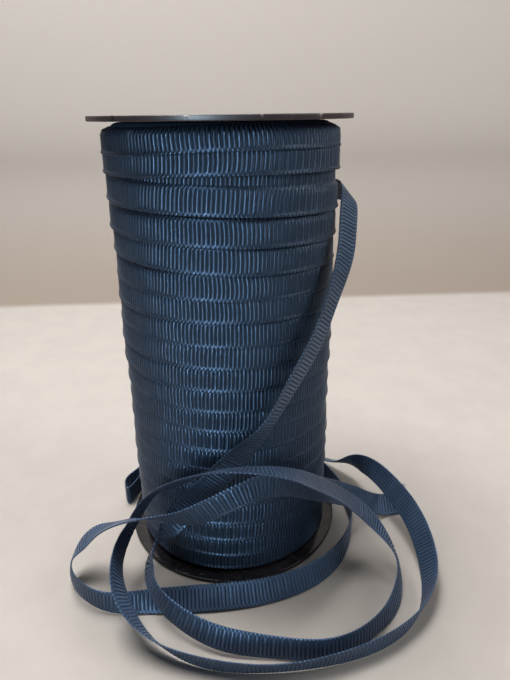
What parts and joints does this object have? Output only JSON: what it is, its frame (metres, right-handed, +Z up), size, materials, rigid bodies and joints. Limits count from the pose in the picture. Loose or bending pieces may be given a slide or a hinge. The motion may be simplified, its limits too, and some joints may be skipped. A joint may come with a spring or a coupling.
{
  "type": "roll of grosgrain ribbon",
  "caption": "Tall spool of narrow ribbed grosgrain ribbon wound in stacked rows between two thin round flanges, with a loose end looped round its foot.",
  "frame": {"origin": "centre of the bottom flange's underside, on the surface the spool stands on", "axes": "+Z up along the spool's axis; -Y towards the side where the loose end lies in front; +X to the right seen from there"},
  "size_m": [0.099, 0.0979, 0.1153],
  "materials": {
    "ribbon": "dark blue ribbed grosgrain with fine cross ribs, soft sheen and serrated edges",
    "spool": "dark moulded plastic, satin, a little worn at the rim"
  },
  "bodies": {
    "root": {"wound_ribbon": "ribbon", "loose_ribbon": "ribbon", "spool_top_flange": "spool", "spool_bottom_flange": "spool"}
  },
  "joints": []
}
